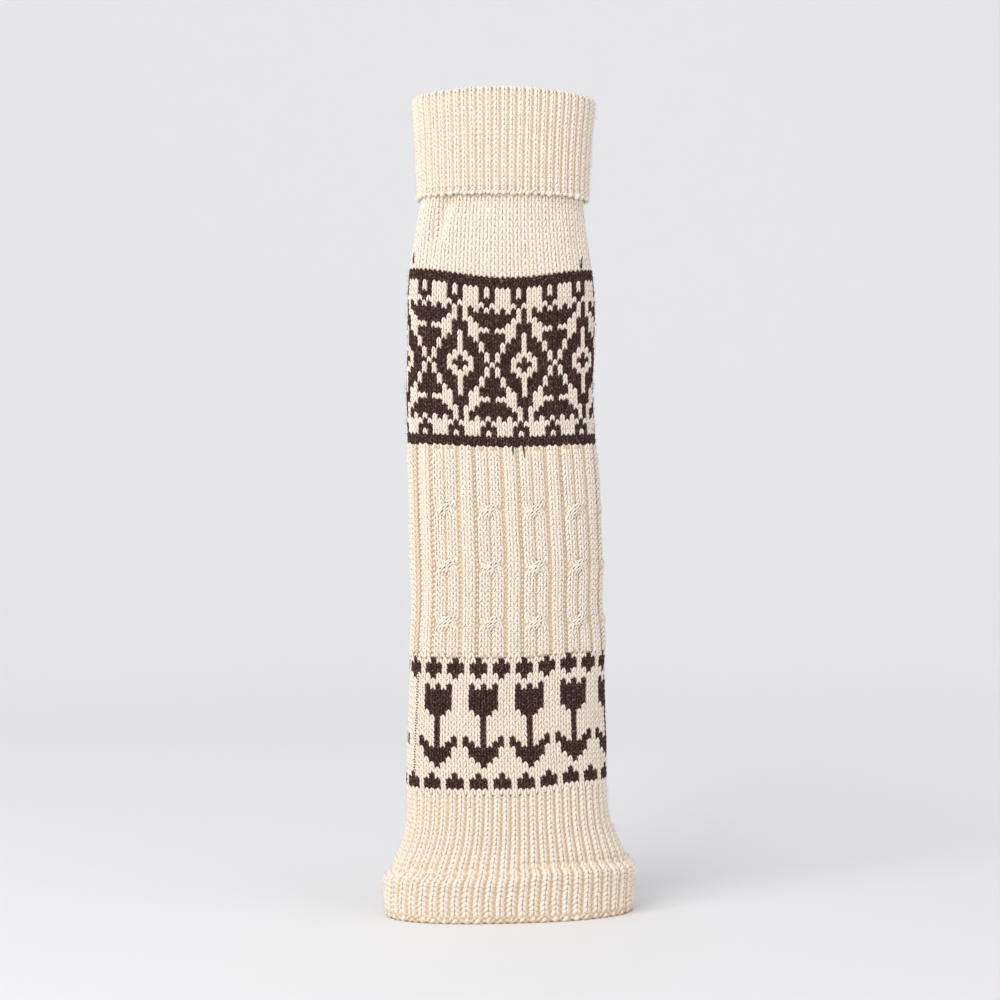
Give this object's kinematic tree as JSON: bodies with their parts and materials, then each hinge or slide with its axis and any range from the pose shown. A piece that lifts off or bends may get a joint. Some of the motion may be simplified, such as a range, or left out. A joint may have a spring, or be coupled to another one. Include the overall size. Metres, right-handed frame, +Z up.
{
  "type": "leg warmer",
  "caption": "Knitted leg warmer standing upright and hollow, with a turned-down rib cuff, two-colour bands, cables and a flared ribbed hem.",
  "frame": {"origin": "on the floor, at the middle of the hem's outline", "axes": "+Z up along the leg towards the turned cuff, +X to the right of the front view, -Y to the front"},
  "size_m": [0.1262, 0.0594, 0.4069],
  "materials": {
    "cream_wool": "matte knitted wool yarn",
    "brown_wool": "matte knitted wool yarn"
  },
  "bodies": {
    "root": {"turned_cuff": "cream_wool", "plain_neck": "cream_wool", "pattern_band": "brown_wool", "cable_band": "cream_wool", "tulip_band": "cream_wool", "ribbed_hem": "cream_wool"}
  },
  "joints": []
}
